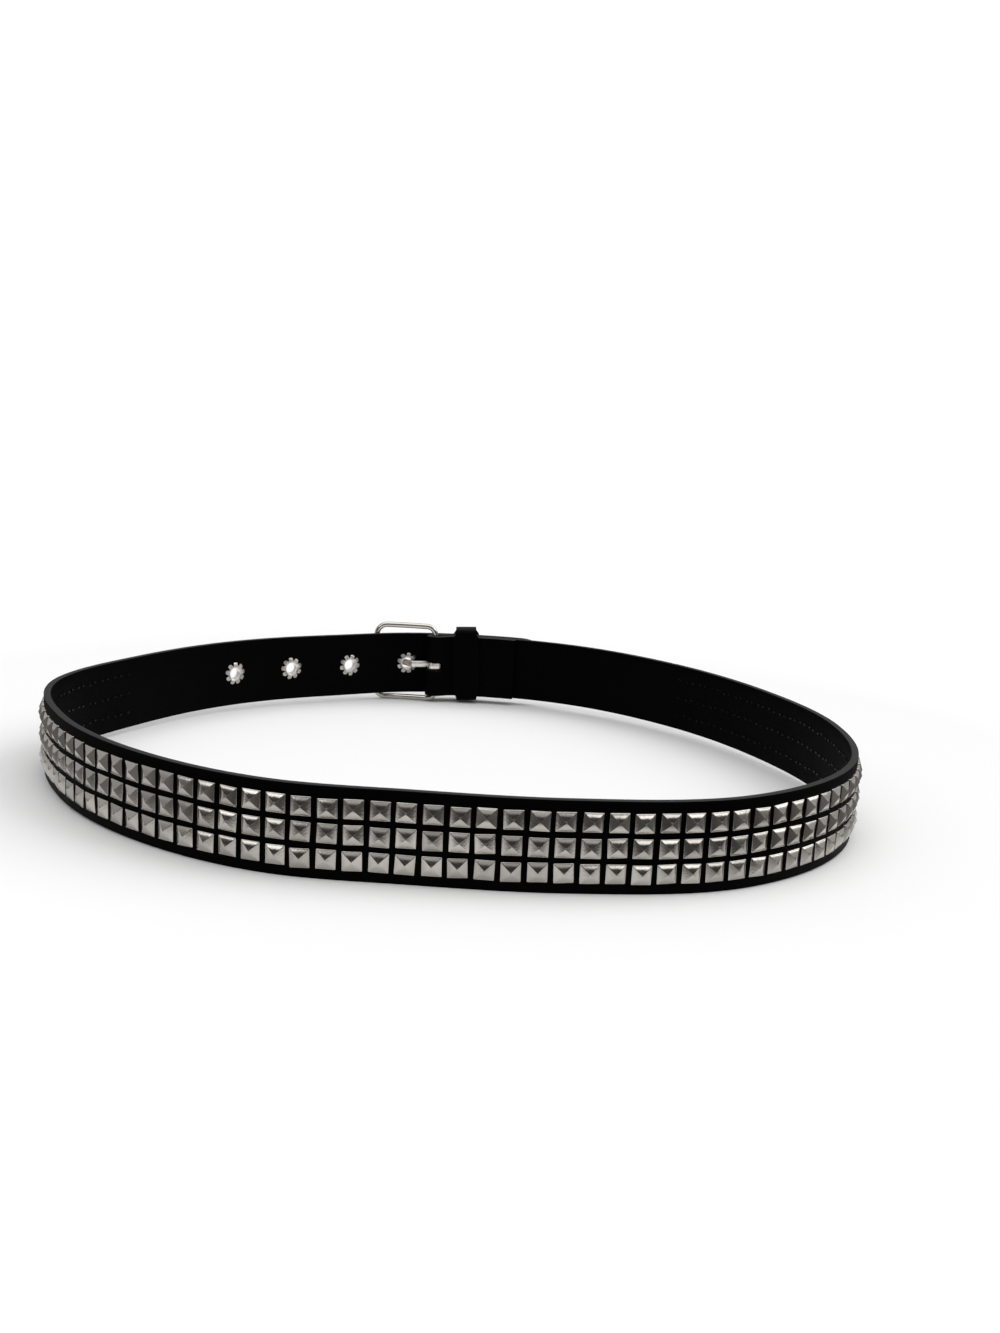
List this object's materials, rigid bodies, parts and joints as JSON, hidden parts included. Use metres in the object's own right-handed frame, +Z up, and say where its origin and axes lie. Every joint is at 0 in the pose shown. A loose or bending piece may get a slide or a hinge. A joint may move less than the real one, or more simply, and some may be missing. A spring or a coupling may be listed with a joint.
{
  "type": "studded belt",
  "caption": "Black leather belt with rows of pyramid studs, buckled into a waist loop and standing on its edge, with wire buckle, keeper and petal eyelets.",
  "frame": {"origin": "middle of the belt's footprint, on the surface that it stands on", "axes": "+Z up across the strap's width, +X along the loop's longer extent, +Y from the front of the loop towards the buckle"},
  "size_m": [0.3782, 0.3402, 0.0472],
  "materials": {
    "strap_leather": "smooth black belt leather, satin, with a lighter grey cut edge; the studs fused to it are polished nickel",
    "buckle_nickel": "polished nickel-plated wire",
    "keeper_leather": "black leather loop, satin",
    "eyelet_nickel": "nickel-plated sheet, slightly dull petals"
  },
  "bodies": {
    "root": {"studded_strap": "strap_leather", "buckle_frame": "buckle_nickel", "buckle_prong": "buckle_nickel", "keeper_loop": "keeper_leather", "eyelet_1": "eyelet_nickel", "eyelet_2": "eyelet_nickel", "eyelet_3": "eyelet_nickel", "eyelet_4": "eyelet_nickel", "eyelet_5": "eyelet_nickel"}
  },
  "joints": []
}
